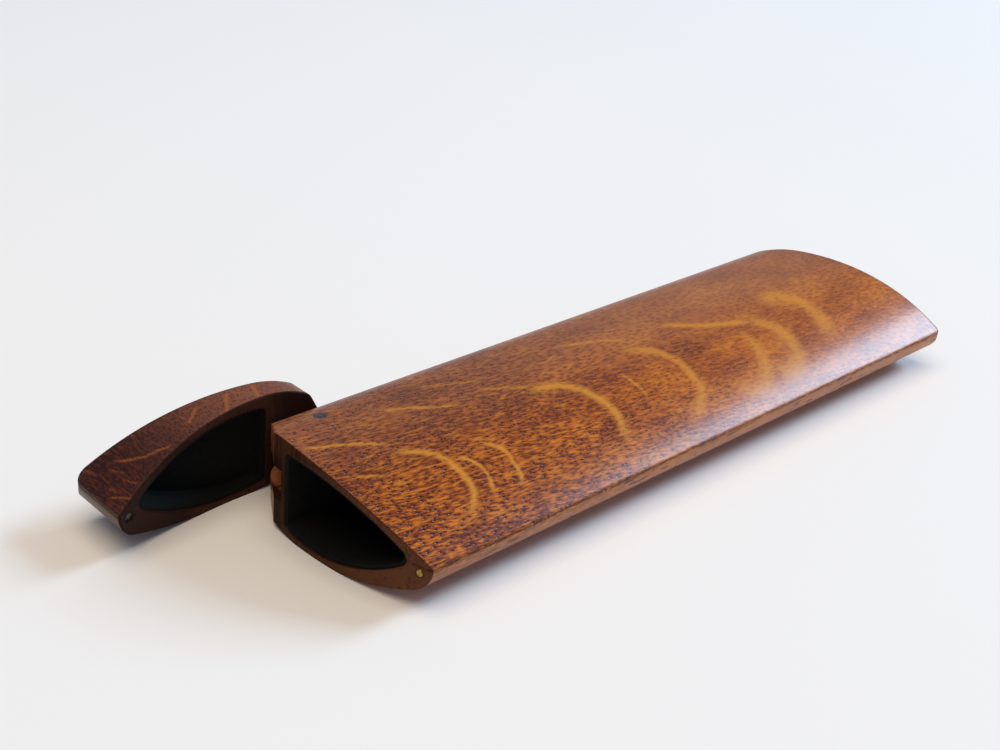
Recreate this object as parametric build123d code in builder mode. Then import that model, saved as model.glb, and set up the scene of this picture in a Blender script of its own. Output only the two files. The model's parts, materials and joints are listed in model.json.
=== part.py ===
from build123d import *
import os
from math import acos, atan2, cos, radians, sin, sqrt

os.makedirs("parts", exist_ok=True)

# A carved wooden pen case: a long body and a short lid that swivels sideways on one pin.
# Each of the two is made of an upper and a lower shell, glued at a flat seam.
# Plans and sections are drawn in the case's own numbers: x runs from the mouth end of the
# sharp edge towards the closed end, y from the middle line towards the pivot, z up from the seam.
# All sizes are in millimetres.

# Overall
case_width = 50.0
body_length = 169.3
base_flat_width = 12.0

# Upper half of the section
crown_height = 11.5
crown_place = 12.0
top_edge_round = 0.6
shoulder_height = 9.3
shoulder_set_in = 3.7
shoulder_round = 2.5
side_top = 1.93
side_top_round = 3.5

# Lower half of the section
belly_depth = 9.98
belly_place = 1.54
bottom_edge_round = 6.0
side_round = 4.9

# Plan of the closed end, one arc about a centre past the sharp edge
end_radius = 96.0
end_centre_y = -34.3
end_sharp_corner_round = 0.9
end_side_corner_round = 4.0

# Pivot: three knuckles on one pin, the middle one a tongue of the lid
pivot_x = 6.0
knuckle_radius = 9.4
pivot_pin_radius = 1.45
tongue_half_width = 2.95
tongue_top = 4.2
tongue_bottom = 2.4
tongue_root = 2.0
pin_hole_clearance = 0.02
pin_running_clearance = 0.07
slot_clearance = 0.2

# Parting between body and lid: a round face, hollow on the lid, that stands out most at its crest
parting_radius = 94.0
parting_crest_place = 7.0
parting_corner_place = 15.0
parting_gap = 0.3

# Outer end of the lid, a slanting arc
lid_length_at_sharp_edge = 17.0
lid_length_at_middle = 13.8
lid_length_at_side = 9.5
lid_sharp_corner_round = 2.5
lid_side_corner_round = 5.5

# Pocket that runs through the mouth, in both body and lid
pocket_edge_wall = 5.3
pocket_side_wall = 13.6
pocket_roof = 9.25
pocket_roof_place = 6.0
pocket_floor = 8.5
pocket_floor_place = 3.0
pocket_nose_top = 1.4
pocket_nose_bottom = 0.82
pocket_nose_round = 1.8
pocket_corner_round = 1.5
body_end_wall = 6.5
lid_end_wall = 2.6
mouth_overshoot = 5.0

# Felt lining
lining_thickness = 0.7
lining_glue_line = 0.03
lining_setback = 0.4

# Catch: a plated stud in the body's end face, a magnet sunk in the lid
catch_edge_distance = 2.6
catch_drop = 1.35
stud_radius = 0.8
stud_length = 7.0
stud_proud = 0.15
stud_tip_round = 0.3
stud_glue_line = 0.02
magnet_radius = 1.0
magnet_length = 3.0
magnet_recess = 0.8
magnet_glue_line = 0.05

# How far the lid stands open at rest
open_angle = 90.0

half_width = case_width / 2
pivot_y = half_width - knuckle_radius
pocket_side = half_width - pocket_side_wall
cut_reach = 2 * body_length


def blend_radius(place, rise, edge_round):
    """Radius of an arc that is level at its far point and runs into the edge round."""
    run = place + half_width - edge_round
    return (run**2 + rise**2 - edge_round**2) / (2 * (rise - edge_round))


def blend_point(place, rise, edge_round):
    """Point where the edge round meets that arc."""
    radius = blend_radius(place, rise, edge_round)
    stretch = radius / (radius - edge_round)
    centre_y = place
    centre_z = rise - radius
    edge_y = edge_round - half_width
    return (centre_y + (edge_y - centre_y) * stretch, centre_z - centre_z * stretch)


belly_radius = blend_radius(belly_place, belly_depth, bottom_edge_round)
base_flat_depth = belly_radius - sqrt(belly_radius**2 - (base_flat_width / 2) ** 2)
seam_height = belly_depth - base_flat_depth

# The origin lies on the base flat, half way along the body
case_frame = Plane(origin=(-body_length / 2, -belly_place, seam_height))


def turned_about_pin(frame, angle):
    """The frame turned clockwise about the pin, seen from above."""
    across = frame.x_dir * cos(radians(angle)) - frame.y_dir * sin(radians(angle))
    along = frame.x_dir * sin(radians(angle)) + frame.y_dir * cos(radians(angle))
    pin = frame.from_local_coords(Vector(pivot_x, pivot_y, 0))
    return Plane(origin=pin - across * pivot_x - along * pivot_y, x_dir=across, z_dir=frame.z_dir)


lid_frame = turned_about_pin(case_frame, open_angle)


def section_of(frame):
    """Plane across the case, in which x is the frame's y and y is its z."""
    return Plane(origin=frame.origin, x_dir=frame.y_dir, z_dir=frame.x_dir)


centre = Vector(sqrt(parting_radius**2 - (half_width + parting_crest_place) ** 2), parting_crest_place)
lid_face_radius = parting_radius + parting_gap


def face_x(y, radius):
    """Where a round face about the parting's centre lies at a given y."""
    return centre.X - sqrt(radius**2 - (y - centre.Y) ** 2)


def knuckle_touch(corner):
    """Point where a straight line from the parting's corner runs into the knuckle."""
    away = corner - Vector(pivot_x, pivot_y)
    angle = atan2(away.Y, away.X) - acos(knuckle_radius / away.length)
    return (pivot_x + knuckle_radius * cos(angle), pivot_y + knuckle_radius * sin(angle))


def end_x(y, wall):
    """Where the round closed end lies at a given y, set in by a wall."""
    centre_x = body_length - sqrt(end_radius**2 - (half_width + end_centre_y) ** 2)
    return centre_x + sqrt((end_radius - wall) ** 2 - (y - end_centre_y) ** 2)


def top_section(frame):
    """Upper half: a long crown from the sharp edge, a round shoulder and a side that leans in."""
    touch = blend_point(crown_place, crown_height, top_edge_round)
    shoulder = (half_width - shoulder_set_in, shoulder_height)
    with BuildSketch(section_of(frame)) as section:
        with BuildLine():
            edge = TangentArc((-half_width, 0), touch, tangent=(0, 1))
            TangentArc(touch, (crown_place, crown_height), tangent=edge % 1)
            TangentArc((crown_place, crown_height), shoulder, tangent=(1, 0))
            Polyline(shoulder, (half_width, side_top), (half_width, 0), (-half_width, 0))
        make_face()
        side = section.vertices().group_by(Axis.X)
        fillet(side[-2], radius=shoulder_round)
        fillet(side[-1].sort_by(Axis.Y)[-1], radius=side_top_round)
    return section.sketch


def bottom_section(frame):
    """Lower half: a wide edge round, a shallow belly and a rounded foot of the upright side."""
    touch_y, touch_z = blend_point(belly_place, belly_depth, bottom_edge_round)
    belly_centre_z = belly_radius - belly_depth
    side_z = belly_centre_z - sqrt(belly_radius**2 - (half_width - belly_place) ** 2)
    with BuildSketch(section_of(frame)) as section:
        with BuildLine():
            TangentArc((-half_width, 0), (touch_y, -touch_z), tangent=(0, -1))
            ThreePointArc((touch_y, -touch_z), (belly_place, -belly_depth), (half_width, side_z))
            Polyline((half_width, side_z), (half_width, 0), (-half_width, 0))
        make_face()
        foot = section.vertices().group_by(Axis.X)[-1].sort_by(Axis.Y)[0]
        fillet(foot, radius=side_round)
    return section.sketch


def drop_radius(run, drop):
    """Radius of an arc that is level at one end and drops by so much over a run."""
    return (run**2 + drop**2) / (2 * drop)


def pocket_section(frame, inset):
    """Pocket outline, or the same set in: domed roof, dished floor, rounded nose, flat side."""
    nose_y = pocket_edge_wall - half_width
    roof_radius = drop_radius(pocket_roof_place - nose_y, pocket_roof - pocket_nose_top)
    roof_side = pocket_roof - roof_radius + sqrt(roof_radius**2 - (pocket_side - pocket_roof_place) ** 2)
    floor_radius = drop_radius(pocket_floor_place - nose_y, pocket_floor - pocket_nose_bottom)
    floor_side = floor_radius - pocket_floor - sqrt(floor_radius**2 - (pocket_side - pocket_floor_place) ** 2)
    with BuildSketch(section_of(frame)) as section:
        with BuildLine():
            ThreePointArc(
                (nose_y, pocket_nose_top), (pocket_roof_place, pocket_roof), (pocket_side, roof_side)
            )
            Line((pocket_side, roof_side), (pocket_side, floor_side))
            ThreePointArc(
                (pocket_side, floor_side), (pocket_floor_place, -pocket_floor), (nose_y, -pocket_nose_bottom)
            )
            Line((nose_y, -pocket_nose_bottom), (nose_y, pocket_nose_top))
        make_face()
        sides = section.vertices().group_by(Axis.X)
        fillet(sides[0], radius=pocket_nose_round)
        fillet(section.vertices().group_by(Axis.X)[-1], radius=pocket_corner_round)
        if inset:
            offset(amount=-inset)
    return section.sketch


def body_plan():
    """Body from above: parting face, knuckle, straight side, round closed end, sharp edge."""
    corner = Vector(face_x(parting_corner_place, parting_radius), parting_corner_place)
    side_end = (end_x(half_width, 0), half_width)
    with BuildSketch(case_frame) as plan:
        with BuildLine():
            ThreePointArc(
                (0, -half_width), (centre.X - parting_radius, centre.Y), (corner.X, corner.Y)
            )
            ear = Line((corner.X, corner.Y), knuckle_touch(corner))
            TangentArc(ear @ 1, (pivot_x, half_width), tangent=ear % 1)
            Line((pivot_x, half_width), side_end)
            ThreePointArc(side_end, (end_x(0, 0), 0), (body_length, -half_width))
            Line((body_length, -half_width), (0, -half_width))
        make_face()
        fillet(plan.vertices().sort_by(Axis.X)[-2], radius=end_side_corner_round)
        fillet(plan.vertices().sort_by(Axis.X)[-1], radius=end_sharp_corner_round)
    return plan.sketch


def lid_plan():
    """Closed lid from above: hollow mating face, straight side, round outer end, sharp edge."""
    with BuildSketch(lid_frame) as plan:
        with BuildLine():
            ThreePointArc(
                (face_x(-half_width, lid_face_radius), -half_width),
                (centre.X - lid_face_radius, centre.Y),
                (face_x(half_width, lid_face_radius), half_width),
            )
            Line((face_x(half_width, lid_face_radius), half_width), (-lid_length_at_side, half_width))
            ThreePointArc(
                (-lid_length_at_side, half_width),
                (-lid_length_at_middle, 0),
                (-lid_length_at_sharp_edge, -half_width),
            )
            Line(
                (-lid_length_at_sharp_edge, -half_width),
                (face_x(-half_width, lid_face_radius), -half_width),
            )
        make_face()
        fillet(plan.vertices().sort_by(Axis.X)[1], radius=lid_side_corner_round)
        fillet(plan.vertices().sort_by(Axis.X)[0], radius=lid_sharp_corner_round)
    return plan.sketch


def body_pocket_plan(wall, mouth_radius):
    """Body pocket from above: from a round face at the mouth to a wall short of the closed end."""
    far_edge = (end_x(-half_width, wall), -half_width)
    far_side = (end_x(half_width, wall), half_width)
    with BuildSketch(case_frame) as plan:
        with BuildLine():
            ThreePointArc(
                (face_x(-half_width, mouth_radius), -half_width),
                (centre.X - mouth_radius, centre.Y),
                (face_x(half_width, mouth_radius), half_width),
            )
            Line((face_x(-half_width, mouth_radius), -half_width), far_edge)
            ThreePointArc(far_edge, (end_x(0, wall), 0), far_side)
            Line(far_side, (face_x(half_width, mouth_radius), half_width))
        make_face()
    return plan.sketch


def lid_pocket_plan(wall, mouth_radius):
    """Lid pocket from above: from a round face at the mouth to a wall short of the slanting end."""
    slope = (lid_length_at_sharp_edge - lid_length_at_side) / case_width
    shift = wall * sqrt(1 + slope**2)
    with BuildSketch(lid_frame) as plan:
        with BuildLine():
            ThreePointArc(
                (face_x(-half_width, mouth_radius), -half_width),
                (centre.X - mouth_radius, centre.Y),
                (face_x(half_width, mouth_radius), half_width),
            )
            Line(
                (face_x(-half_width, mouth_radius), -half_width),
                (shift - lid_length_at_sharp_edge, -half_width),
            )
            ThreePointArc(
                (shift - lid_length_at_sharp_edge, -half_width),
                (shift - lid_length_at_middle, 0),
                (shift - lid_length_at_side, half_width),
            )
            Line((shift - lid_length_at_side, half_width), (face_x(half_width, mouth_radius), half_width))
        make_face()
    return plan.sketch


def pocket(frame, plan, inset):
    """Solid that fills a pocket, or the same set in by a lining."""
    with BuildPart() as filling:
        extrude(plan, amount=case_width, both=True)
        extrude(pocket_section(frame, inset), amount=cut_reach, both=True, mode=Mode.INTERSECT)
    return filling.part


def raised(plan, section, height):
    """A plan raised from the seam by a height, up or down, and cut to a section along the case."""
    with BuildPart() as half:
        extrude(plan, amount=height)
        extrude(section, amount=cut_reach, both=True, mode=Mode.INTERSECT)
    return half.part


def tongue_plan():
    """Tongue of the lid from above: a straight band with a round end about the pin."""
    half = tongue_half_width
    root_x = face_x(pivot_y, lid_face_radius) - tongue_root
    with BuildSketch(lid_frame) as plan:
        with BuildLine():
            Line((pivot_x, pivot_y + half), (root_x, pivot_y + half))
            Line((root_x, pivot_y + half), (root_x, pivot_y - half))
            Line((root_x, pivot_y - half), (pivot_x, pivot_y - half))
            ThreePointArc(
                (pivot_x, pivot_y - half), (pivot_x + half, pivot_y), (pivot_x, pivot_y + half)
            )
        make_face()
    return plan.sketch


def slot_plan():
    """Slot in the body for the tongue, over its whole swing from the mouth to the side."""
    half = tongue_half_width + slot_clearance
    outside = half_width + knuckle_radius
    with BuildSketch(case_frame) as plan:
        with BuildLine():
            ThreePointArc(
                (pivot_x, pivot_y - half),
                (pivot_x + half * cos(radians(45)), pivot_y - half * sin(radians(45))),
                (pivot_x + half, pivot_y),
            )
            Polyline(
                (pivot_x + half, pivot_y),
                (pivot_x + half, outside),
                (-knuckle_radius, outside),
                (-knuckle_radius, pivot_y - half),
                (pivot_x, pivot_y - half),
            )
        make_face()
    return plan.sketch


def pin_plan(frame, radius):
    """Round section of the pivot pin, or of a hole for it."""
    with BuildSketch(frame) as plan:
        with Locations((pivot_x, pivot_y)):
            Circle(radius)
    return plan.sketch


def catch_plan(frame, x, radius):
    """Round section of the catch's stud or magnet, or of a hole for it, square to the long axis."""
    section = section_of(frame)
    section.origin = frame.from_local_coords(Vector(x, 0, 0))
    with BuildSketch(section) as plan:
        with Locations((catch_edge_distance - half_width, -catch_drop)):
            Circle(radius)
    return plan.sketch


body_hollow = pocket(case_frame, body_pocket_plan(body_end_wall, parting_radius + mouth_overshoot), 0)
lid_hollow = pocket(lid_frame, lid_pocket_plan(lid_end_wall, lid_face_radius - mouth_overshoot), 0)
ear_hole = pin_plan(case_frame, pivot_pin_radius + pin_hole_clearance)
tongue_hole = pin_plan(lid_frame, pivot_pin_radius + pin_running_clearance)
catch_y = catch_edge_distance - half_width
stud_tip_x = face_x(catch_y, parting_radius) - stud_proud
magnet_back_x = face_x(catch_y, lid_face_radius) - magnet_recess - magnet_length
felt_outside = lining_glue_line
felt_inside = lining_glue_line + lining_thickness

# Body, upper shell, with the upper ear of the pivot
with BuildPart() as case_upper:
    add(raised(body_plan(), top_section(case_frame), case_width))
    add(body_hollow, mode=Mode.SUBTRACT)
    extrude(slot_plan(), amount=tongue_top, mode=Mode.SUBTRACT)
    extrude(ear_hole, amount=case_width, mode=Mode.SUBTRACT)

# Body, lower shell, with the lower ear, the hole for the stud and the base flat
with BuildPart() as case_lower:
    add(raised(body_plan(), bottom_section(case_frame), -case_width))
    add(body_hollow, mode=Mode.SUBTRACT)
    extrude(slot_plan(), amount=-tongue_bottom, mode=Mode.SUBTRACT)
    extrude(ear_hole, amount=-case_width, mode=Mode.SUBTRACT)
    stud_hole = catch_plan(case_frame, stud_tip_x, stud_radius + stud_glue_line)
    extrude(stud_hole, amount=stud_length, mode=Mode.SUBTRACT)
    split(bisect_by=Plane.XY, keep=Keep.TOP)

# Lid, upper shell, with the thicker half of the tongue
with BuildPart() as lid_upper:
    add(raised(lid_plan(), top_section(lid_frame), case_width))
    add(lid_hollow, mode=Mode.SUBTRACT)
    extrude(tongue_plan(), amount=tongue_top - slot_clearance)
    extrude(tongue_hole, amount=tongue_top, mode=Mode.SUBTRACT)

# Lid, lower shell, with the thinner half of the tongue and the hole for the magnet
with BuildPart() as lid_lower:
    add(raised(lid_plan(), bottom_section(lid_frame), -case_width))
    add(lid_hollow, mode=Mode.SUBTRACT)
    extrude(tongue_plan(), amount=slot_clearance - tongue_bottom)
    extrude(tongue_hole, amount=-tongue_bottom, mode=Mode.SUBTRACT)
    magnet_hole = catch_plan(lid_frame, magnet_back_x, magnet_radius + magnet_glue_line)
    extrude(magnet_hole, amount=case_width, mode=Mode.SUBTRACT)
    split(bisect_by=Plane.XY, keep=Keep.TOP)

# Pivot pin, filed flush with the crown and the belly
with BuildPart() as pivot_pin:
    add(raised(pin_plan(case_frame, pivot_pin_radius), top_section(case_frame), case_width))
    add(raised(pin_plan(case_frame, pivot_pin_radius), bottom_section(case_frame), -case_width))

# Catch: the stud in the body and the magnet in the lid that holds it
with BuildPart() as catch_stud:
    extrude(catch_plan(case_frame, stud_tip_x, stud_radius), amount=stud_length)
    fillet(catch_stud.faces().sort_by(Axis.X)[0].edges(), radius=stud_tip_round)

with BuildPart() as catch_magnet:
    extrude(catch_plan(lid_frame, magnet_back_x, magnet_radius), amount=magnet_length)

# Felt linings: a sleeve closed at its far end in the body, a shallow cup in the lid
with BuildPart() as case_lining:
    add(
        pocket(
            case_frame,
            body_pocket_plan(body_end_wall + felt_outside, parting_radius - lining_setback),
            felt_outside,
        )
    )
    add(
        pocket(
            case_frame,
            body_pocket_plan(body_end_wall + felt_inside, parting_radius + mouth_overshoot),
            felt_inside,
        ),
        mode=Mode.SUBTRACT,
    )

with BuildPart() as lid_lining:
    add(
        pocket(
            lid_frame,
            lid_pocket_plan(lid_end_wall + felt_outside, lid_face_radius + lining_setback),
            felt_outside,
        )
    )
    add(
        pocket(
            lid_frame,
            lid_pocket_plan(lid_end_wall + felt_inside, lid_face_radius - mouth_overshoot),
            felt_inside,
        ),
        mode=Mode.SUBTRACT,
    )

case_upper.part.label = "case_upper"
case_lower.part.label = "case_lower"
lid_upper.part.label = "lid_upper"
lid_lower.part.label = "lid_lower"
pivot_pin.part.label = "pivot_pin"
catch_stud.part.label = "catch_stud"
catch_magnet.part.label = "catch_magnet"
case_lining.part.label = "case_lining"
lid_lining.part.label = "lid_lining"

for piece in (
    case_upper,
    case_lower,
    lid_upper,
    lid_lower,
    pivot_pin,
    catch_stud,
    catch_magnet,
    case_lining,
    lid_lining,
):
    export_step(piece.part, f"parts/{piece.part.label}.step")
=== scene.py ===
"""Looks of a carved oak pen case with a swivelling lid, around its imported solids."""

import json
import logging
import math
from dataclasses import dataclass, field
from enum import Enum

import bpy
from mathutils import Matrix, Vector


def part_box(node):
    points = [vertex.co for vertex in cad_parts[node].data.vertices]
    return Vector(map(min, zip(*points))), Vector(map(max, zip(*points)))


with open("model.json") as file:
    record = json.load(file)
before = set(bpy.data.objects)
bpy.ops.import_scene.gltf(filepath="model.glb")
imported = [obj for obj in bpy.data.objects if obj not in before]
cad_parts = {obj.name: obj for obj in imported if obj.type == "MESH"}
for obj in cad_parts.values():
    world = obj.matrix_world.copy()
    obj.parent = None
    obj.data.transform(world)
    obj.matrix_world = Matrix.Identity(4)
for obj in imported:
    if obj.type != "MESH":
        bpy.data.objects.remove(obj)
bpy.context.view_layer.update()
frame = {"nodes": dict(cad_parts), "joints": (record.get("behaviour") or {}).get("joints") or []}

LOG = logging.getLogger("pen_case")
Socket = bpy.types.NodeSocket
Outputs = bpy.types.bpy_prop_collection
Colour = tuple[float, float, float, float]
# Nothing at the first number, all at the second, which may be the smaller
Fade = tuple[float, float]
SMOOTH = {"interpolation_type": "SMOOTHSTEP"}

MM = 0.001
BODY_LENGTH = 169.3 * MM
# The parting's round face, in the case's own millimetres
PARTING_RADIUS = 94.0
PARTING_GAP = 0.3
PARTING_CENTRE = (88.385, 7.0)


def linear(code: str, alpha: float = 1.0) -> Colour:
    """Turns an sRGB hex colour into linear light.

    Args:
        code: colour such as "#a5601f".
        alpha: opacity.

    Returns:
        Red, green, blue and alpha, linear.
    """
    values = [int(code[i : i + 2], 16) / 255 for i in (1, 3, 5)]
    light = [v / 12.92 if v <= 0.04045 else ((v + 0.055) / 1.055) ** 2.4 for v in values]
    return (light[0], light[1], light[2], alpha)


class MaterialTree:
    """A new material, and the small tools that fill its node tree."""

    def __init__(self, name: str) -> None:
        """Makes an empty material.

        Args:
            name: what the material is called.
        """
        self.material = bpy.data.materials.new(name)
        self.material.use_nodes = True
        self.tree = self.material.node_tree
        self.tree.nodes.clear()

    def add(
        self,
        kind: str,
        *values: Socket | float | tuple | Vector,
        inputs: dict[str | int, Socket | float | tuple] | None = None,
        **settings: object,
    ) -> Outputs:
        """Adds one shader node with its settings and links.

        Args:
            kind: Blender's name of the node's type, without "ShaderNode".
            values: its first inputs in order: an output socket, which is linked, or a value.
            inputs: further inputs by name or number, likewise.
            settings: properties of the node.

        Returns:
            The node's output sockets.
        """
        node = self.tree.nodes.new(f"ShaderNode{kind}")
        for name, setting in settings.items():
            setattr(node, name, setting)
        for key, value in {**dict(enumerate(values)), **(inputs or {})}.items():
            if isinstance(value, Socket):
                self.tree.links.new(value, node.inputs[key])
            else:
                node.inputs[key].default_value = value
        return node.outputs

    def times(self, *factors: Socket | float) -> Socket | float:
        """Multiplies masks and shares.

        Args:
            factors: sockets and numbers.

        Returns:
            Their product.
        """
        total = factors[0]
        for factor in factors[1:]:
            total = self.add("Math", total, factor, operation="MULTIPLY")[0]
        return total

    def weighted(self, *pairs: tuple[Socket, float]) -> Socket:
        """Adds up sockets, each times its weight.

        Args:
            pairs: each a socket and its weight.

        Returns:
            The sum.
        """
        total = 0.0
        for socket, weight in pairs:
            total = self.add("Math", socket, weight, total, operation="MULTIPLY_ADD")[0]
        return total

    def without(self, mask: Socket, share: float = 1.0) -> Socket:
        """What is left beside a share of a mask: one less their product."""
        return self.add("Math", mask, -share, 1.0, operation="MULTIPLY_ADD")[0]

    def paint(self, under: Socket | str, over: Socket | str, *masks: Socket | float) -> Socket:
        """Lays one colour over another where all the masks are.

        Args:
            under: the colour below, a socket or an sRGB hex value.
            over: the colour on top, likewise.
            masks: sockets and shares, which are multiplied.

        Returns:
            The mixed colour.
        """
        below, above = (linear(colour) if isinstance(colour, str) else colour for colour in (under, over))
        return self.add("Mix", self.times(*masks), inputs={6: below, 7: above}, data_type="RGBA")[2]

    def finish_with(self, inputs: dict[str, Socket | float]) -> bpy.types.Material:
        """Ends the tree with the shader.

        Args:
            inputs: inputs of the Principled shader by name.

        Returns:
            The finished material.
        """
        shader = self.add("BsdfPrincipled", inputs=inputs)[0]
        self.add("OutputMaterial", shader)
        return self.material


class Grain(Enum):
    """How far a wooden piece lies turned from its closed place, in degrees."""

    ALONG_BODY = 0.0
    TURNED_LID = 90.0


@dataclass(frozen=True)
class Fleck:
    """A medullary ray that shows as a pale golden arc, in the case's own millimetres.

    Its centre and radius describe a circle seen from above, and it runs between two angles in degrees.
    """

    x: float
    y: float
    radius: float
    start: float
    end: float
    width: float
    strength: float = 1.0


BODY_FLECKS = (
    Fleck(9.2, -11.8, 9.3, -70, 96, 3.0),
    Fleck(17.5, -12.8, 5.5, -60, 64, 1.7),
    Fleck(24.0, -12.7, 6.6, -64, 70, 1.9),
    Fleck(49.5, -11.6, 11.2, -50, 112, 4.6),
    Fleck(77.4, -9.7, 9.9, -100, 100, 4.4, 0.9),
    Fleck(128.7, -7.9, 7.6, -80, 130, 9.0, 0.85),
    Fleck(112.9, -11.6, 8.0, -130, 90, 8.0, 0.85),
    Fleck(100.3, -9.8, 10.0, -132, 30, 6.0, 0.75),
    Fleck(-45.0, -97.0, 112.0, 60, 69.5, 1.5, 0.9),
    Fleck(57.4, 83.9, 84.4, -120, -107, 1.6, 0.8),
    Fleck(-12.0, -31.0, 29.5, 55, 70, 1.3, 0.7),
    Fleck(0.0, -80.0, 97.0, 64, 73, 1.8, 0.5),
    Fleck(15.0, -60.0, 69.5, 60, 71, 1.8, 0.6),
    Fleck(131.4, 71.3, 76.9, -121, -99, 3.0, 0.9),
    Fleck(50.0, -60.0, 71.0, 63, 78, 2.0, 0.6),
    Fleck(62.0, -9.0, 9.4, -25, 32, 1.6, 0.7),
)

LID_FLECKS = (
    Fleck(-18.8, -7.3, 13.2, -65, -8, 1.3, 0.7),
    Fleck(-25.0, -15.5, 20.0, 30, 50, 1.4, 0.8),
    Fleck(-22.5, -15.0, 24.0, 45, 64, 1.6),
    Fleck(-30.0, -60.0, 74.0, 71, 76, 1.5),
    Fleck(6.0, -40.0, 20.0, 104, 128, 0.9, 0.6),
)


@dataclass(frozen=True)
class PoreRow:
    """Open vessels seen from above, as long dots: one to a cell, whose size is in millimetres."""

    spacing_along: float
    spacing_across: float
    size: float
    tilt: float


@dataclass(frozen=True)
class Figure:
    """One size of figure in the wood: how long along the grain and how wide across it, in millimetres."""

    length: float
    width: float
    detail: float = 2.0
    tilt: float = 0.0


@dataclass(frozen=True)
class OakPattern:
    """How oak is figured, in both woods.

    Places are in the case's own millimetres: along from the mouth, across from the middle line
    towards the pivot, and height from the seam. Shares, weights and tones are parts of one.
    """

    # Ground: clouds, long streaks and short fibres, on a grain that is slightly crooked
    bend: Figure = Figure(14.0, 5.0)
    bend_reach: tuple[float, float, float] = (2.6, 1.8, 1.2)
    clouds: Figure = Figure(17.0, 7.0)
    cloud_weight: float = 0.65
    streaks: Figure = Figure(3.8, 0.58)
    streak_weight: float = 1.1
    fibres: Figure = Figure(1.7, 0.3)
    fibre_weight: float = 1.3
    dark_tone: Fade = (0.05, -0.22)
    light_tone: Fade = (0.0, 0.26)

    # Where the colour changes: painted light at the closed end, painted sheen on the pivot side, the lower shell with
    # painted light from the floor, painted shade at the corner by the mouth
    closed_end: Fade = (0.0, 120.0)
    pivot_side: float = 12.0
    pivot_side_calm: float = 0.3
    upper_shell: Fade = (-0.9, 0.5)
    low_share: float = 0.45
    corner_along: Fade = (30.0, 3.0)
    corner_across: Fade = (-8.0, -22.0)

    # Rays, a little torn, with short wisps between them
    ray_taper: float = 0.6
    wisps: Figure = Figure(8.0, 1.5, tilt=-20.0)
    wisp_tone: Fade = (0.12, 0.24)
    wisp_share: float = 0.35
    tears: Figure = Figure(2.5, 0.7)
    torn_tone: Fade = (-0.42, -0.04)
    ray_share: float = 0.85

    # Pores: dots with a soft rim and a darker halo, fewer in the rays, and plain dashes on the lower shell
    pore_scatter: float = 0.85
    pore_core: float = 0.6
    pore_groups: Figure = Figure(11.0, 5.0)
    pore_group_tone: Fade = (-0.22, -0.05)
    second_row_tone: Fade = (0.12, -0.06)
    ray_clear: float = 0.85
    halo_size: float = 2.3
    halo_share: float = 0.45
    low_pores: Figure = Figure(7.0, 1.2, detail=1.0, tilt=10.0)
    low_pore_tone: Fade = (0.13, 0.19)
    low_pore_share: float = 0.8
    mark_share: float = 0.85

    # Seam: broken here and there
    seam_breaks: Figure = Figure(3.2, 1.0, detail=3.0)
    seam_tone: Fade = (-0.1, 0.06)
    seam_height: Fade = (0.42, 0.05)
    seam_share: float = 0.9

    # Sparks: light caught at one end of a pore, near the mouth and the sharp edge
    spark_size: float = 0.34
    spark_shift: tuple[float, float] = (0.4, 0.14)
    spark_along: Fade = (75.0, 5.0)
    spark_across: Fade = (-8.0, -19.0)
    spark_group_tone: Fade = (-0.1, 0.02)
    spark_share: float = 0.8

    # Mating faces with end grain, darker towards the pivot with painted shade
    face_depth: float = 0.18
    face_share: float = 0.85
    face_across: Fade = (-17.0, 8.0)

    # Painted shade: the knuckle, where it faces the joint, and the pocket's bare wall behind the mouth
    knuckle_along: Fade = (14.0, 7.0)
    knuckle_across: Fade = (10.0, 14.0)
    knuckle_height: Fade = (8.0, 5.5)
    knuckle_slope: float = 0.7
    knuckle_facing: Fade = (0.1, 0.4)
    wall_facing: Fade = (-0.5, -1.5)
    wall_depth: float = 1.5
    shade_share: float = 0.95

    # Relief and gloss
    fibre_relief: float = 0.2
    bump_strength: float = 0.6
    edge_samples: int = 4
    mark_rough: float = 0.2
    face_rough: float = 0.3
    face_bare: float = 0.8


OAK = OakPattern()


@dataclass(frozen=True)
class OakFinish:
    """Open-pored oak, cut so that its rays show, stained and oiled to a satin.

    The eye reads it by dark pores drawn out along the grain, golden ray flecks and a soft gloss.
    """

    name: str
    dark: str
    middle: str
    light: str
    ray: str
    pore: str
    glint: str
    # Painted sheen: paler, greyer colours on the pivot side, changing towards the closed end
    sheen_side: str
    sheen_end: str
    # Lower shell: its own colour, made paler with painted light from the floor
    low_wood_and_floor_light: str
    # Mating faces: end grain darkened with painted shade, and darker painted shade towards the pivot and on the
    # knuckle
    end_grain_and_shade: str
    end_shade: str
    flecks: tuple[Fleck, ...]
    pores: tuple[PoreRow, PoreRow]
    specular: float = 0.06
    roughness: float = 0.5
    coat: float = 0.5
    coat_roughness: float = 0.22
    pore_depth: float = 0.05
    edge_round: float = 0.9
    # Painted light: how much the tone lightens towards the closed end
    end_light: float = 0.0
    # Painted shade: how much the tone darkens at the corner by the mouth
    corner_shade: float = 0.0
    # How much painted sheen lies on the pivot side, and from where across it starts
    sheen_share: float = 0.5
    sheen_from: float = -14.0
    far_calm: float = 0.0
    tilt: float = 0.0


# Amber oak of the body, oiled: warm orange ground, golden rays
BODY_OAK = OakFinish(
    name="oiled_amber_oak",
    dark="#6b2c0d",
    middle="#a65516",
    light="#c6741c",
    ray="#d38d32",
    pore="#33150d",
    glint="#c0a8a0",
    sheen_side="#825b48",
    sheen_end="#9f7660",
    low_wood_and_floor_light="#ad7048",
    end_grain_and_shade="#4e2e1e",
    end_shade="#210f0a",
    flecks=BODY_FLECKS,
    pores=(PoreRow(2.4, 0.95, 0.22, 5.0), PoreRow(1.9, 0.8, 0.22, 13.0)),
    end_light=0.06,
    corner_shade=0.1,
    far_calm=0.6,
    tilt=8.0,
)

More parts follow.
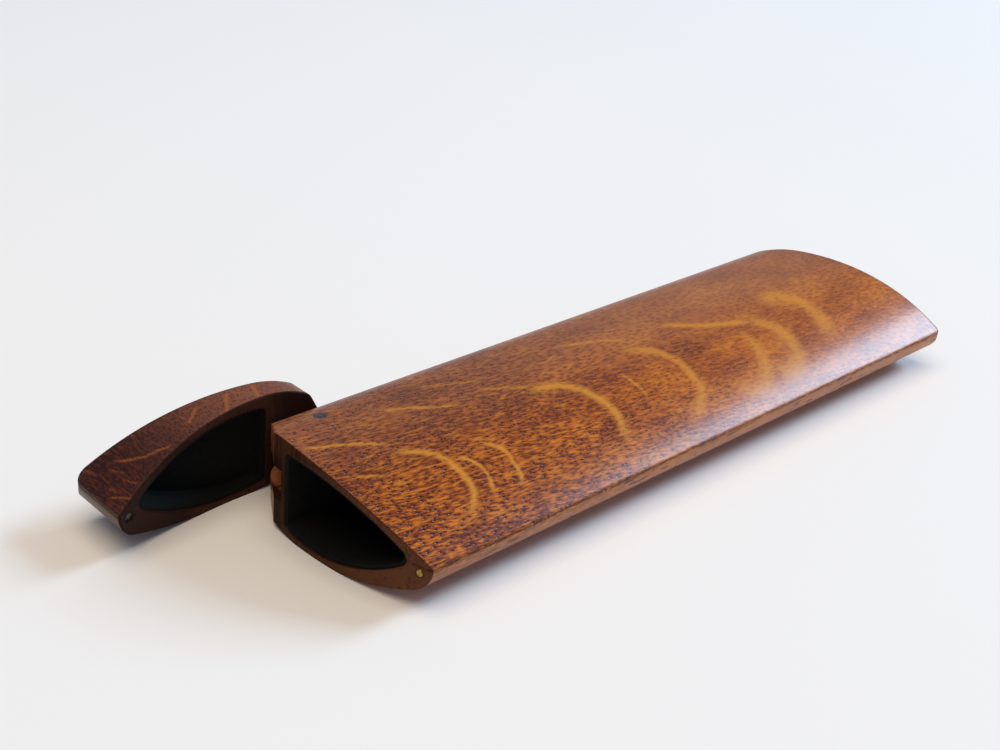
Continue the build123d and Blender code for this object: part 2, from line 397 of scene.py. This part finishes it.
# Darker, redder oak of the lid, the same oil
LID_OAK = OakFinish(
    name="oiled_dark_oak",
    dark="#2b100a",
    middle="#421b10",
    light="#582716",
    ray="#a05a28",
    pore="#190a08",
    glint="#54403a",
    sheen_side="#84503a",
    sheen_end="#84503a",
    low_wood_and_floor_light="#6e4c38",
    end_grain_and_shade="#3a1e14",
    end_shade="#2a150f",
    flecks=LID_FLECKS,
    pores=(PoreRow(1.5, 0.62, 0.15, -4.0), PoreRow(1.7, 0.7, 0.14, 5.0)),
    sheen_share=0.9,
    sheen_from=-20.0,
)


@dataclass(frozen=True)
class Spot:
    """What the steps of the pattern share about the point that is coloured: its places and its masks."""

    place: Socket
    bent: Socket
    along: Socket
    across: Socket
    height: Socket
    upper: Socket
    face: Socket
    distance: Socket
    # Mask of the pivot side, which gets the painted sheen and a calmer figure
    pivot_sheen: Socket
    calm: Socket
    groups: Socket


class OakMaterial(MaterialTree):
    """Builds the node tree of one oak finish for one way of the grain."""

    def __init__(self, finish: OakFinish, grain: Grain, origin: Vector, pin: Vector) -> None:
        """Keeps what the tree is made from.

        Args:
            finish: colours and sizes of the oak.
            grain: which way the piece lies.
            origin: start of the sharp edge on the seam, in metres.
            pin: a point on the pivot's axis, in metres.
        """
        super().__init__(f"{finish.name}_{grain.name.lower()}")
        self.finish = finish
        self.lid = grain is Grain.TURNED_LID
        self.turn = math.radians(grain.value)
        self.origin = origin
        self.pin = pin

    def place(self) -> Socket:
        """Object coordinates as the case's own millimetres, with the lid turned back to its closed place.

        Returns:
            The place.
        """
        here = self.add("TexCoord")["Object"]
        matrix = Matrix.Rotation(self.turn, 3, "Z")
        shift = (matrix @ -self.pin + self.pin - self.origin) / MM
        return self.add("Mapping", here, shift, (0, 0, self.turn), (1 / MM,) * 3, vector_type="POINT")[0]

    def facing(self) -> Socket:
        """Which way the surface faces, with the lid turned back to its closed place."""
        normal = self.add("TexCoord")["Normal"]
        return self.add("Mapping", normal, inputs={"Rotation": (0, 0, self.turn)}, vector_type="VECTOR")[0]

    def stretch(
        self, place: Socket, figure: Figure, turn: float = 0.0, shift: tuple[float, float] = (0.0, 0.0)
    ) -> Socket:
        """Coordinates in which a figure of the given size is one unit long and one wide.

        Args:
            place: the place in millimetres.
            figure: length, width and tilt of the figure.
            turn: further tilt, in degrees.
            shift: how far the figure is moved, in millimetres.

        Returns:
            The stretched coordinates.
        """
        rotation = (0, 0, math.radians(figure.tilt + turn))
        turned = self.add("Mapping", place, (*shift, 0), rotation, vector_type="POINT")[0]
        scale = (1 / figure.length, 1 / figure.width, 1 / figure.width)
        return self.add("Mapping", turned, inputs={"Scale": scale}, vector_type="POINT")[0]

    def wander(self, place: Socket) -> Socket:
        """The same place, slightly crooked, as wood grows.

        Args:
            place: the place in millimetres.

        Returns:
            The place plus a slow noise, of some millimetres each way.
        """
        inputs = {"Vector": self.stretch(place, OAK.bend), "Scale": 1.0, "Detail": OAK.bend.detail}
        noise = self.add("TexNoise", inputs=inputs)["Color"]
        centred = self.add("VectorMath", noise, (0.5, 0.5, 0.5), operation="SUBTRACT")[0]
        return self.add("VectorMath", centred, OAK.bend_reach, place, operation="MULTIPLY_ADD")[0]

    def noise(self, place: Socket, figure: Figure, turn: float = 0.0) -> Socket:
        """Noise with figures of the given size.

        Args:
            place: the place in millimetres.
            figure: length, width, detail and tilt of the figures.
            turn: further tilt, in degrees.

        Returns:
            Its value, centred on zero.
        """
        inputs = {"Vector": self.stretch(place, figure, turn), "Scale": 1.0, "Detail": figure.detail}
        return self.add("Math", self.add("TexNoise", inputs=inputs)["Fac"], 0.5, operation="SUBTRACT")[0]

    def round_reach(
        self, place: Socket, x: float, y: float, radius: float, middle: float = 0.0
    ) -> tuple[Socket, Socket, Socket]:
        """Flat coordinates about a point, as parts of a radius.

        Args:
            place: the place in millimetres.
            x: the point's distance from the mouth.
            y: its distance from the middle line.
            radius: length that counts as one.
            middle: angle of the first axis, in degrees.

        Returns:
            The two coordinates, and the distance from the point: the root of the sum of their squares.
        """
        rotation = (0, 0, math.radians(middle))
        local = self.add("Mapping", place, (x, y, 0), rotation, (radius,) * 3, vector_type="TEXTURE")[0]
        ahead, beside, _ = self.add("SeparateXYZ", local)
        flat = self.add("CombineXYZ", ahead, beside)[0]
        return ahead, beside, self.add("VectorMath", flat, operation="LENGTH")["Value"]

    def end_face(self, place: Socket, depth: float) -> Socket:
        """Where the mating face of the body or of the lid is.

        Args:
            place: the place in millimetres.
            depth: how far behind the face the mask is whole, in millimetres.

        Returns:
            The mask, which is nothing at twice that depth.
        """
        radius = PARTING_RADIUS + (PARTING_GAP if self.lid else 0.0)
        reach = self.round_reach(place, *PARTING_CENTRE, radius)[2]
        skin = depth / radius if self.lid else -depth / radius
        return self.add("MapRange", reach, 1 + 2 * skin, 1 + skin, **SMOOTH)[0]

    def spot(self) -> Spot:
        """Works out what the steps share about a point.

        Returns:
            The point's places and masks.
        """
        place = self.place()
        bent = self.wander(place)
        along, across, height = self.add("SeparateXYZ", place)
        distance = self.add("MapRange", along, *OAK.closed_end, **SMOOTH)[0]
        pivot_sheen = self.add("MapRange", across, self.finish.sheen_from, OAK.pivot_side, **SMOOTH)[0]
        return Spot(
            place=place,
            bent=bent,
            along=along,
            across=across,
            height=height,
            upper=self.add("MapRange", height, *OAK.upper_shell, **SMOOTH)[0],
            face=self.end_face(place, OAK.face_depth),
            distance=distance,
            pivot_sheen=pivot_sheen,
            calm=self.times(self.without(distance, self.finish.far_calm), self.without(pivot_sheen, OAK.pivot_side_calm)),
            groups=self.noise(bent, OAK.pore_groups),
        )

    def ground(self, spot: Spot) -> tuple[Socket, Socket, Socket]:
        """Clouds, streaks and fibres, lighter with painted light at the closed end, paler and greyer with a painted
        sheen at the pivot, and plainer below the seam, where painted light from the floor makes them paler.

        Args:
            spot: what is known about the point.

        Returns:
            The colour, its tone about zero, and the fibres alone.
        """
        finish = self.finish
        clouds = self.noise(spot.bent, OAK.clouds)
        streaks = self.noise(spot.bent, OAK.streaks, finish.tilt)
        fibres = self.noise(spot.bent, OAK.fibres, finish.tilt)
        fine = self.times(self.weighted((streaks, OAK.streak_weight), (fibres, OAK.fibre_weight)), spot.calm)
        corner = self.times(
            self.add("MapRange", spot.along, *OAK.corner_along, **SMOOTH)[0],
            self.add("MapRange", spot.across, *OAK.corner_across, **SMOOTH)[0],
        )
        # Painted light lightens the tone towards the closed end; painted shade darkens it at the corner by the mouth
        tone = self.weighted(
            (clouds, OAK.cloud_weight),
            (fine, 1.0),
            (spot.distance, finish.end_light),
            (corner, -finish.corner_shade),
        )
        dark = self.add("MapRange", tone, *OAK.dark_tone, **SMOOTH)[0]
        light = self.add("MapRange", tone, *OAK.light_tone, **SMOOTH)[0]
        colour = self.paint(self.paint(finish.middle, finish.dark, dark), finish.light, light)
        # Painted sheen: paler, greyer colours on the pivot side, changing towards the closed end
        dull = self.paint(finish.sheen_side, finish.sheen_end, spot.distance)
        colour = self.paint(colour, dull, spot.pivot_sheen, finish.sheen_share)
        # Painted light from the floor makes the lower shell paler
        colour = self.paint(colour, finish.low_wood_and_floor_light, self.without(spot.upper), OAK.low_share)
        return colour, tone, fibres

    def arcs(self, place: Socket) -> Socket:
        """Ray flecks: each fades from its line to half its width, and towards its two ends.

        Args:
            place: the place in millimetres.

        Returns:
            The largest of their masks.
        """
        total = None
        for fleck in self.finish.flecks:
            middle = (fleck.start + fleck.end) / 2
            ahead, beside, reach = self.round_reach(place, fleck.x, fleck.y, fleck.radius, middle)
            half = math.radians((fleck.end - fleck.start) / 2)
            off = self.add("Math", self.add("Math", reach, 1.0, operation="SUBTRACT")[0], operation="ABSOLUTE")[0]
            line = self.add("MapRange", off, fleck.width / 2 / fleck.radius, 0.0, **SMOOTH)[0]
            angle = self.add("Math", self.add("Math", beside, ahead, operation="ARCTAN2")[0], operation="ABSOLUTE")[0]
            ends = self.add("MapRange", angle, half, half * OAK.ray_taper, **SMOOTH)[0]
            mask = self.times(line, ends, fleck.strength)
            total = mask if total is None else self.add("Math", total, mask, operation="MAXIMUM")[0]
        return total

    def rays(self, spot: Spot) -> Socket:
        """Arcs and short wisps on the upper shell, a little torn.

        Args:
            spot: what is known about the point.

        Returns:
            The mask of the rays.
        """
        wisps = self.add("MapRange", self.noise(spot.bent, OAK.wisps), *OAK.wisp_tone, **SMOOTH)[0]
        torn = self.add("MapRange", self.noise(spot.bent, OAK.tears), *OAK.torn_tone, **SMOOTH)[0]
        wisps = self.times(wisps, OAK.wisp_share)
        both = self.add("Math", self.arcs(spot.bent), wisps, operation="MAXIMUM")[0]
        return self.times(both, torn, spot.upper)

    def dots(self, place: Socket, row: PoreRow, size: float, shift: tuple[float, float] = (0.0, 0.0)) -> Socket:
        """One long dot to a cell, seen from above.

        Args:
            place: the place in millimetres.
            row: spacing and tilt of the cells.
            size: radius of a dot, as a part of a cell.
            shift: how far all the dots are moved, in millimetres.

        Returns:
            The mask of the dots.
        """
        cells = self.stretch(place, Figure(row.spacing_along, row.spacing_across, tilt=row.tilt), shift=shift)
        inputs = {"Vector": cells, "Scale": 1.0, "Randomness": OAK.pore_scatter}
        reach = self.add("TexVoronoi", inputs=inputs, voronoi_dimensions="2D")["Distance"]
        return self.add("MapRange", reach, size, size * OAK.pore_core, **SMOOTH)[0]

    def pores(self, spot: Spot, tone: Socket, rays: Socket) -> tuple[Socket, Socket]:
        """Open pores of the upper shell, in groups and fewer in the rays, and the lower shell's dashes.

        Args:
            spot: what is known about the point.
            tone: the ground's tone, as the second row of pores is only in its dark parts.
            rays: the mask of the rays.

        Returns:
            The masks of the pores and of their darker halos.
        """
        first, second = self.finish.pores
        dark = self.add("MapRange", tone, *OAK.second_row_tone, **SMOOTH)[0]
        group = self.add("MapRange", spot.groups, *OAK.pore_group_tone, **SMOOTH)[0]
        clear = self.times(self.without(rays, OAK.ray_clear), spot.calm)
        fewer = self.times(self.dots(spot.bent, second, second.size), dark)
        rows = self.add("Math", self.dots(spot.bent, first, first.size), fewer, operation="MAXIMUM")[0]
        dense = self.times(rows, group, clear)
        halo = self.times(self.dots(spot.bent, first, first.size * OAK.halo_size), clear, spot.upper, OAK.halo_share)
        dashes = self.add("MapRange", self.noise(spot.bent, OAK.low_pores), *OAK.low_pore_tone, **SMOOTH)[0]
        dashes = self.times(dashes, OAK.low_pore_share)
        return self.add("Mix", spot.upper, inputs={2: dashes, 3: dense}, data_type="FLOAT")[0], halo

    def seam(self, spot: Spot) -> Socket:
        """A broken dark line where the two shells meet.

        Args:
            spot: what is known about the point.

        Returns:
            The mask of the line.
        """
        whole = self.add("MapRange", self.noise(spot.place, OAK.seam_breaks), *OAK.seam_tone, **SMOOTH)[0]
        level = self.add("Math", spot.height, operation="ABSOLUTE")[0]
        line = self.add("MapRange", level, *OAK.seam_height, **SMOOTH)[0]
        return self.times(line, whole, OAK.seam_share)

    def sparks(self, spot: Spot, rays: Socket) -> Socket:
        """Light caught at one end of a pore, most of all near the mouth and the sharp edge.

        Args:
            spot: what is known about the point.
            rays: the mask of the rays.

        Returns:
            The mask of the sparks.
        """
        first = self.finish.pores[0]
        mouth = self.add("MapRange", spot.along, *OAK.spark_along, **SMOOTH)[0]
        edge = self.add("MapRange", spot.across, *OAK.spark_across, **SMOOTH)[0]
        near = self.add("Math", mouth, edge, operation="MAXIMUM")[0]
        group = self.add("MapRange", spot.groups, *OAK.spark_group_tone, **SMOOTH)[0]
        dots = self.dots(spot.bent, first, first.size * OAK.spark_size, OAK.spark_shift)
        return self.times(dots, spot.upper, near, self.without(rays, OAK.ray_clear), group)

    def shade(self, spot: Spot) -> Socket:
        """Painted shade on the knuckle where it faces the joint, and on the pocket's bare wall behind the mouth.

        A surface is the pocket's own wall where it faces the middle line: where the dot product of
        its direction and of its place in the section is below zero.

        Args:
            spot: what is known about the point.

        Returns:
            The mask of the painted shade.
        """
        facing = self.facing()
        slope = OAK.knuckle_slope
        joint = (slope if self.lid else -slope, -slope, 0.0)
        towards = self.add("VectorMath", facing, joint, operation="DOT_PRODUCT")["Value"]
        knuckle = self.times(
            self.add("MapRange", spot.along, *OAK.knuckle_along, **SMOOTH)[0],
            self.add("MapRange", spot.across, *OAK.knuckle_across, **SMOOTH)[0],
            self.add("MapRange", spot.height, *OAK.knuckle_height, **SMOOTH)[0],
            self.add("MapRange", towards, *OAK.knuckle_facing, **SMOOTH)[0],
        )
        section = self.add("VectorMath", spot.place, (0.0, 1.0, 1.0), operation="MULTIPLY")[0]
        outward = self.add("VectorMath", facing, section, operation="DOT_PRODUCT")["Value"]
        inner = self.add("MapRange", outward, *OAK.wall_facing, **SMOOTH)[0]
        wall = self.times(inner, self.end_face(spot.place, OAK.wall_depth))
        return self.add("Math", knuckle, wall, operation="MAXIMUM")[0]

    def build(self) -> bpy.types.Material:
        """Makes the material: colour first, then relief and gloss.

        Returns:
            The material.
        """
        finish = self.finish
        spot = self.spot()
        colour, tone, fibres = self.ground(spot)
        rays = self.rays(spot)
        colour = self.paint(colour, finish.ray, rays, OAK.ray_share)
        holes, halo = self.pores(spot, tone, rays)
        colour = self.paint(colour, finish.dark, halo)
        seam = self.seam(spot)
        marks = self.add("Math", holes, seam, operation="MAXIMUM")[0]
        colour = self.paint(colour, finish.pore, marks, OAK.mark_share)
        colour = self.paint(colour, finish.glint, self.sparks(spot, rays), OAK.spark_share)

        # Mating faces show end grain, darkened with painted shade towards the pivot, and the seam
        shade_towards_pivot = self.add("MapRange", spot.across, *OAK.face_across, **SMOOTH)[0]
        colour = self.paint(
            colour, self.paint(finish.end_grain_and_shade, finish.end_shade, shade_towards_pivot), spot.face, OAK.face_share
        )
        colour = self.paint(colour, finish.pore, seam, spot.face)
        # Painted shade on the knuckle and on the pocket's bare wall
        colour = self.paint(colour, finish.end_shade, self.shade(spot), OAK.shade_share)

        # Sunk pores and faint fibres, under oil that also rounds the edges
        relief = self.add("Math", self.times(fibres, OAK.fibre_relief), marks, operation="SUBTRACT")[0]
        soft = self.add("Bevel", finish.edge_round * MM, samples=OAK.edge_samples)[0]
        bump = {"Height": relief, "Strength": OAK.bump_strength, "Distance": finish.pore_depth * MM, "Normal": soft}
        rough = self.weighted((marks, OAK.mark_rough), (spot.face, OAK.face_rough))
        return self.finish_with(
            {
                "Base Color": colour,
                "Roughness": self.add("Math", rough, finish.roughness, operation="ADD")[0],
                "Specular IOR Level": finish.specular,
                "Normal": self.add("Bump", inputs=bump)[0],
                "Coat Weight": self.times(self.without(spot.face, OAK.face_bare), finish.coat),
                "Coat Roughness": finish.coat_roughness,
                "Coat Normal": soft,
            }
        )


@dataclass(frozen=True)
class FeltFinish:
    """Pressed wool felt, dyed near black: no gloss, faintly speckled with loose fibres."""

    name: str = "pressed_black_felt"
    ground: str = "#11110f"
    fibre: str = "#191917"
    fibre_width: float = 0.25
    fibre_tone: Fade = (0.4, 0.7)
    detail: float = 4.0
    bump_strength: float = 0.6
    bump_depth: float = 0.2
    roughness: float = 0.95
    specular: float = 0.15

    def build(self) -> bpy.types.Material:
        """Makes the felt, speckled with fibres of a real width.

        Returns:
            The material.
        """
        made = MaterialTree(self.name)
        here = made.add("TexCoord")["Object"]
        inputs = {"Vector": here, "Scale": 1 / (self.fibre_width * MM), "Detail": self.detail}
        fuzz = made.add("TexNoise", inputs=inputs)["Fac"]
        tone = made.add("MapRange", fuzz, *self.fibre_tone, **SMOOTH)[0]
        bump = {"Height": fuzz, "Strength": self.bump_strength, "Distance": self.bump_depth * MM}
        return made.finish_with(
            {
                "Base Color": made.paint(self.ground, self.fibre, tone),
                "Roughness": self.roughness,
                "Specular IOR Level": self.specular,
                "Normal": made.add("Bump", inputs=bump)[0],
            }
        )


@dataclass(frozen=True)
class MetalFinish:
    """A small turned metal part: its colour, its roughness and fine scratches from the file.

    The eye reads it by a gleam that is drawn out across the scratches. Lengths are in millimetres.
    """

    name: str
    colour: str
    worn: str
    roughness: float
    scratch_width: float = 0.12
    scratch_length: float = 1.2
    scratch_depth: float = 0.02
    scratch_rough: float = 0.2
    worn_tone: Fade = (0.45, 0.7)
    detail: float = 3.0
    bump_strength: float = 0.3

    def build(self) -> bpy.types.Material:
        """Makes the metal, with file scratches across it and a worn, lighter tone between them.

        Returns:
            The material.
        """
        made = MaterialTree(self.name)
        here = made.add("TexCoord")["Object"]
        fine = 1 / (self.scratch_width * MM)
        scale = (fine, 1 / (self.scratch_length * MM), fine)
        lines = made.add("Mapping", here, inputs={"Scale": scale}, vector_type="POINT")[0]
        scratch = made.add("TexNoise", inputs={"Vector": lines, "Scale": 1.0, "Detail": self.detail})["Fac"]
        tone = made.add("MapRange", scratch, *self.worn_tone, **SMOOTH)[0]
        bump = {"Height": scratch, "Strength": self.bump_strength, "Distance": self.scratch_depth * MM}
        rough = made.add("Math", made.times(scratch, self.scratch_rough), self.roughness, operation="ADD")[0]
        return made.finish_with(
            {
                "Base Color": made.paint(self.colour, self.worn, tone),
                "Metallic": 1.0,
                "Roughness": rough,
                "Normal": made.add("Bump", inputs=bump)[0],
            }
        )


# Blued steel, filed flush: dull blue-grey with a soft gleam
BLUED_STEEL = MetalFinish("filed_blued_steel", "#5e5c58", "#98958e", 0.45)
# Brass plate, a little tarnished: warm yellow gleam
BRASS_PLATE = MetalFinish("tarnished_brass_plate", "#9c7a3c", "#d9b878", 0.25)
# Nickel plate on the magnet, dull: brownish grey
NICKEL_PLATE = MetalFinish("dull_nickel_plate", "#55514e", "#8f8a85", 0.35)


def dress(names: tuple[str, ...], material: bpy.types.Material) -> None:
    """Gives one material to the frame's own pieces.

    Args:
        names: nodes of the frame.
        material: what they are made of.
    """
    for name in names:
        node = frame["nodes"][name]
        node.data.materials.clear()
        node.data.materials.append(material)
        LOG.info("%s is %s", name, material.name)


@dataclass
class Datum:
    """Where the case lies in the scene, in metres: its pin, and the start of its sharp edge on the seam."""

    pin: Vector = field(init=False)
    origin: Vector = field(init=False)

    def __post_init__(self) -> None:
        """Reads the pin from the joint, and the sharp edge's start from the upper shell's box."""
        low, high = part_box("case_upper")
        self.pin = Vector(frame["joints"][0]["pos_m"])
        self.origin = Vector((high.x - BODY_LENGTH, (low.y + high.y) / 2, low.z))


@dataclass
class Body:
    """The long half of the case: two shells glued at the seam, the felt, the pin and the catch's stud."""

    datum: Datum
    felt: bpy.types.Material
    shells: tuple[str, str] = ("case_upper", "case_lower")
    lining: str = "case_lining"
    pin: str = "pivot_pin"
    stud: str = "catch_stud"

    def build(self) -> None:
        """Dresses the body's pieces."""
        oak = OakMaterial(BODY_OAK, Grain.ALONG_BODY, self.datum.origin, self.datum.pin)
        dress(self.shells, oak.build())
        dress((self.lining,), self.felt)
        dress((self.pin,), BLUED_STEEL.build())
        dress((self.stud,), BRASS_PLATE.build())


@dataclass
class Lid:
    """The short half that swivels on the pin: two shells, the felt and the catch's magnet."""

    datum: Datum
    felt: bpy.types.Material
    shells: tuple[str, str] = ("lid_upper", "lid_lower")
    lining: str = "lid_lining"
    magnet: str = "catch_magnet"

    def build(self) -> None:
        """Dresses the lid's pieces."""
        oak = OakMaterial(LID_OAK, Grain.TURNED_LID, self.datum.origin, self.datum.pin)
        dress(self.shells, oak.build())
        dress((self.lining,), self.felt)
        dress((self.magnet,), NICKEL_PLATE.build())


@dataclass(frozen=True)
class Lamp:
    """A flat rectangular light that faces the origin, in degrees and metres."""

    name: str
    azimuth: float
    elevation: float
    slant: float
    distance: float
    size: tuple[float, float]
    radiance: float
    colour: str

    def build(self) -> None:
        """Hangs the lamp so far from the origin, with its power from its radiance and area."""
        data = bpy.data.lights.new(self.name, "AREA")
        data.shape = "RECTANGLE"
        data.size, data.size_y = self.size
        data.energy = self.radiance * math.pi * self.size[0] * self.size[1]
        data.color = linear(self.colour)[:3]
        turn = math.radians(self.azimuth)
        rise = math.radians(self.elevation)
        slant = math.radians(self.slant)
        away = Vector((math.cos(turn) * math.cos(rise), math.sin(turn) * math.cos(rise), math.sin(rise)))
        right = away.cross(Vector((0, 0, 1))).normalized()
        top = right.cross(away)
        width = right * math.cos(slant) + top * math.sin(slant)
        height = top * math.cos(slant) - right * math.sin(slant)
        lamp = bpy.data.objects.new(self.name, data)
        facing = Matrix((-width, height, away)).transposed().to_4x4()
        lamp.matrix_world = Matrix.Translation(away * self.distance) @ facing
        bpy.context.scene.collection.objects.link(lamp)


@dataclass
class Studio:
    """Camera of the photograph, a pale floor, two lamps and an even sky.

    The camera's place and the sensor are in millimetres, the floor and the clips in metres.
    """

    camera_place: tuple[float, float, float] = (-233.70, -181.89, 161.48)
    azimuth: float = -46.13
    elevation: float = 27.41
    roll: float = 5.14
    focal_share: float = 1.47476
    sensor: float = 36.0
    clips: tuple[float, float] = (0.01, 50.0)
    floor_half: float = 6.0
    # Matt white paper: no gloss, so it shows a soft shadow and no reflection
    floor_name: str = "matt_white_paper"
    floor_colour: str = "#f6f5f4"
    floor_roughness: float = 0.9
    floor_specular: float = 0.2
    window: Lamp = Lamp("window", -15.0, 32.0, 45.0, 3.0, (1.4, 0.74), 23.0, "#c2e2ff")
    room: Lamp = Lamp("room", -160.0, 78.0, 0.0, 1.8, (1.6, 1.6), 2.75, "#ffe9c8")
    sky_colour: str = "#dce6ff"
    sky_strength: float = 0.26

    def camera(self) -> None:
        """Camera whose back points along the given azimuth and elevation, rolled about its own axis."""
        turn = math.radians(self.azimuth)
        rise = math.radians(self.elevation)
        back = Vector((math.sin(turn) * math.cos(rise), -math.cos(turn) * math.cos(rise), math.sin(rise)))
        side = Vector((0, 0, 1)).cross(back).normalized()
        top = back.cross(side)
        level = Matrix((side, top, back)).transposed().to_4x4()
        rolled = Matrix.Rotation(math.radians(self.roll), 4, "Z")
        data = bpy.data.cameras.new("photo_camera")
        data.sensor_width = self.sensor
        data.lens = self.focal_share * self.sensor
        data.clip_start, data.clip_end = self.clips
        camera = bpy.data.objects.new("photo_camera", data)
        camera.matrix_world = Matrix.Translation(Vector(self.camera_place) * MM) @ level @ rolled
        bpy.context.scene.collection.objects.link(camera)
        bpy.context.scene.camera = camera

    def floor(self) -> None:
        """Wide pale table top that takes the case's shadow: one square face."""
        h = self.floor_half
        mesh = bpy.data.meshes.new("floor")
        mesh.from_pydata([(-h, -h, 0), (h, -h, 0), (h, h, 0), (-h, h, 0)], [], [(0, 1, 2, 3)])
        floor = bpy.data.objects.new("floor", mesh)
        bpy.context.scene.collection.objects.link(floor)
        paper = MaterialTree(self.floor_name).finish_with(
            {
                "Base Color": linear(self.floor_colour),
                "Roughness": self.floor_roughness,
                "Specular IOR Level": self.floor_specular,
            }
        )
        mesh.materials.append(paper)

    def lamps(self) -> None:
        """A cool window low behind the closed end, a wide soft room light and an even sky."""
        for lamp in (self.window, self.room):
            lamp.build()
        world = bpy.data.worlds.new("even_sky")
        bpy.context.scene.world = world
        world.use_nodes = True
        sky = world.node_tree.nodes["Background"]
        sky.inputs["Color"].default_value = linear(self.sky_colour)
        sky.inputs["Strength"].default_value = self.sky_strength

    def build(self) -> None:
        """Sets the view transform, the camera, the floor and the lamps."""
        bpy.context.scene.view_settings.view_transform = "Standard"
        self.camera()
        self.floor()
        self.lamps()
        LOG.info("studio is set")


def main() -> None:
    """Builds the studio, then the body and the lid, which share one felt."""
    logging.basicConfig(level=logging.INFO)
    Studio().build()
    datum = Datum()
    felt = FeltFinish().build()
    Body(datum, felt).build()
    Lid(datum, felt).build()


if __name__ == "__main__":
    main()
